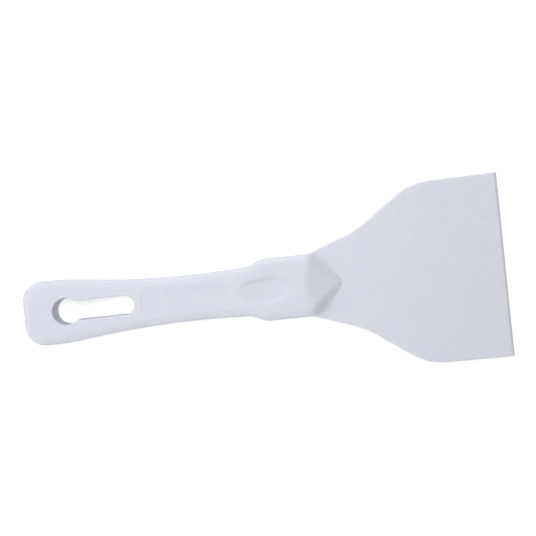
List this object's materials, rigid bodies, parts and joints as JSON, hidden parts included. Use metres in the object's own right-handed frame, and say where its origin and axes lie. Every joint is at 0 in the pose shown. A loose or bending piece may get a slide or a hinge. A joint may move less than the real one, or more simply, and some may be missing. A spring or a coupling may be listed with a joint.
{
  "type": "pan scraper",
  "caption": "One-piece plastic pan scraper: waisted grip with hanging keyhole and thumb dish, wedge-shaped prow and a wide flared blade with a bevelled straight edge.",
  "frame": {"origin": "centre of the part's box, on the parting plane at half the grip's thickness", "axes": "+X along the tool from the butt to the scraping edge, +Y across the blade, +Z out of one broad face"},
  "size_m": [0.266, 0.102, 0.014],
  "materials": {
    "white_plastic": "fine-grained satin moulding, cool white"
  },
  "bodies": {
    "root": {"scraper_body": "white_plastic"}
  },
  "joints": []
}
